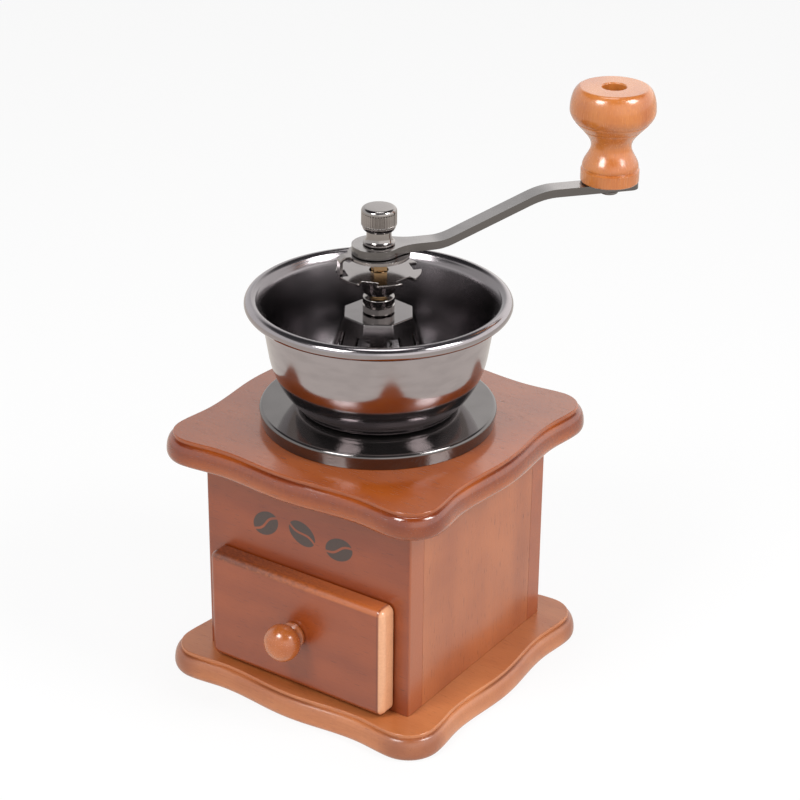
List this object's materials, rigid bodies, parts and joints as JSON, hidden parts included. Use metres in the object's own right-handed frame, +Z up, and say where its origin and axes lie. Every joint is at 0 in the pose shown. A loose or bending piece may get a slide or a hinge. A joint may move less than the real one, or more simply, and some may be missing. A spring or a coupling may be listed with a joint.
{
  "type": "manual coffee grinder",
  "caption": "Hand-cranked coffee grinder: square wooden case with moulded plates and a drawer, spun steel hopper over a conical burr set, and a crank with a turned knob.",
  "frame": {"origin": "on the shaft axis, in the plane of the case's underside", "axes": "+Z up along the shaft, -Y out of the drawer's front, +X to the right seen from the drawer's side"},
  "size_m": [0.1199, 0.1354, 0.2012],
  "materials": {
    "case_wood": "reddish brown stain under satin lacquer",
    "drawer_wood": "reddish brown stain under satin lacquer",
    "tray_wood": "plain planed wood",
    "knob_wood": "turned, orange stain under gloss lacquer",
    "black_nickel": "polished black nickel plate",
    "steel": "satin gunmetal plate",
    "shaft_brass": "turned and threaded, lightly oiled",
    "burr_iron": "bare casting with ground teeth"
  },
  "bodies": {
    "case": {"base_plate": "case_wood", "front_panel": "case_wood", "back_panel": "case_wood", "left_side_panel": "case_wood", "right_side_panel": "case_wood", "top_plate": "case_wood", "base_screw_1": "steel", "base_screw_2": "steel", "base_screw_3": "steel", "base_screw_4": "steel", "flange_collar": "black_nickel", "hopper_bowl": "black_nickel", "bearing_bridge": "black_nickel", "shaft_bush": "steel", "burr_carrier": "steel", "carrier_screw_1": "steel", "carrier_screw_2": "steel", "carrier_screw_3": "steel", "carrier_screw_4": "steel", "outer_burr_ring": "burr_iron"},
    "crank": {"grinder_shaft": "shaft_brass", "cone_burr": "burr_iron", "burr_spring": "steel", "burr_washer": "steel", "burr_nut": "steel", "adjusting_nut": "black_nickel", "lock_plate": "black_nickel", "crank_arm": "steel", "cap_nut": "steel", "knob_pin": "steel"},
    "knob": {"crank_knob": "knob_wood"},
    "drawer": {"drawer_front": "drawer_wood", "drawer_left_side": "tray_wood", "drawer_right_side": "tray_wood", "drawer_back": "tray_wood", "drawer_bottom": "tray_wood", "drawer_knob": "knob_wood", "drawer_knob_screw": "steel"}
  },
  "joints": [
    {"name": "crank_turn", "type": "hinge", "parent": "case", "child": "crank", "pos_m": [0, 0, 0.15], "axis": [0, 0, 1], "continuous": true},
    {"name": "knob_spin", "type": "hinge", "parent": "crank", "child": "knob", "pos_m": [0.05078, 0.06052, 0.18], "axis": [0, 0, 1], "continuous": true},
    {"name": "drawer_slide", "type": "slide", "parent": "case", "child": "drawer", "axis": [0, -1, 0], "range_m": [0, 0.065]}
  ]
}
